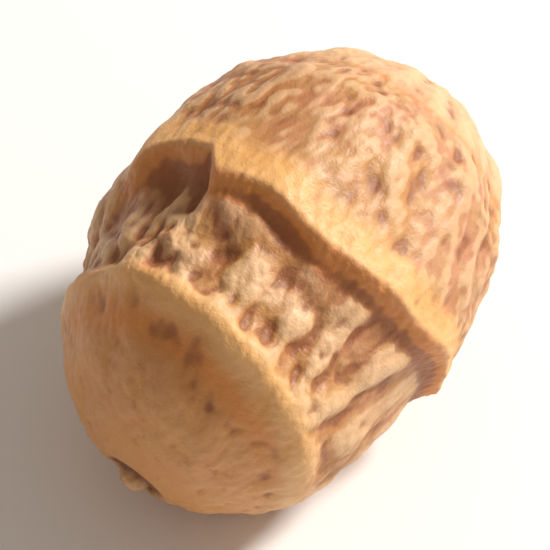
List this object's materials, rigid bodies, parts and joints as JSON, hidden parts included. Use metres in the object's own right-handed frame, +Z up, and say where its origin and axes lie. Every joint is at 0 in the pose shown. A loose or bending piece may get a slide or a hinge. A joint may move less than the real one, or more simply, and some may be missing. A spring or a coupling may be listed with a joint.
{
  "type": "tiger nut",
  "caption": "Dried tiger nut tuber lying on its side, with ring ledges, a stolon scar at one end and a sunken bud at the other.",
  "frame": {"origin": "on the surface it lies on, below the middle of its bounding box", "axes": "+X along the long axis from the stolon scar to the bud, seen level; +Z up as it lies"},
  "size_m": [0.014, 0.0106, 0.0098],
  "materials": {
    "skin": "dry wrinkled skin with a faint waxy sheen, pale on the crests and red-brown in the creases"
  },
  "bodies": {
    "root": {"tiger_nut": "skin"}
  },
  "joints": []
}
